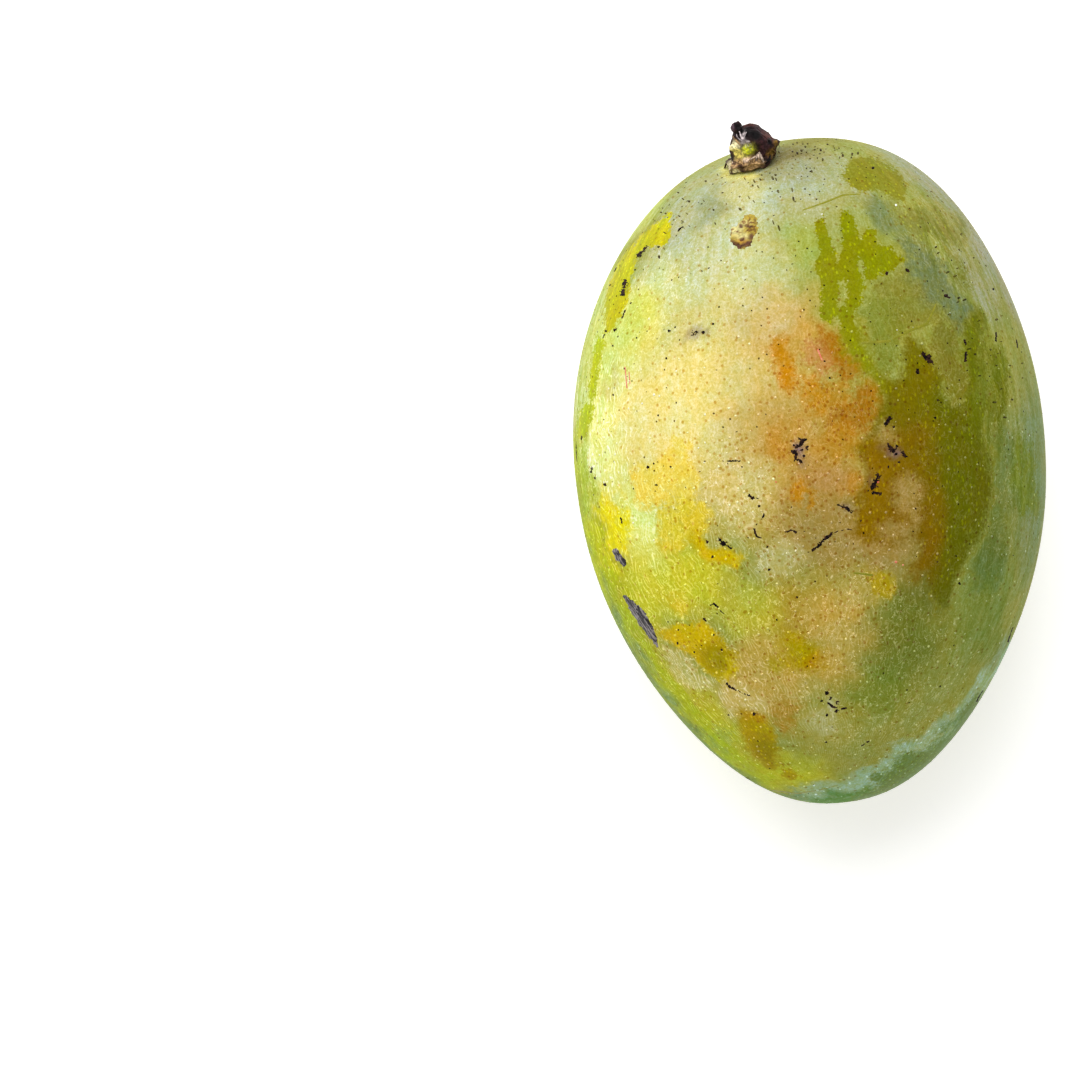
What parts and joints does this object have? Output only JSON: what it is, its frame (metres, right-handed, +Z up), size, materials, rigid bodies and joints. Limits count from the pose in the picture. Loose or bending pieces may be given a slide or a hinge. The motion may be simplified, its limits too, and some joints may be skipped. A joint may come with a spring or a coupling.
{
  "type": "mango",
  "caption": "Whole ripening mango lying on its broad cheek on a small flat spot, with the dried, ragged stub of its stalk in a shallow socket.",
  "frame": {"origin": "on the surface that the fruit lies on, under the middle of the box round the fruit and its stub", "axes": "+Y along the fruit from its tip to its stalk, +X across its width, +Z up out of the upper broad cheek"},
  "size_m": [0.0956, 0.1368, 0.0858],
  "materials": {
    "mango_skin": "satin",
    "dry_stalk": "matte"
  },
  "bodies": {
    "root": {"fruit": "mango_skin", "stem_stub": "dry_stalk"}
  },
  "joints": []
}
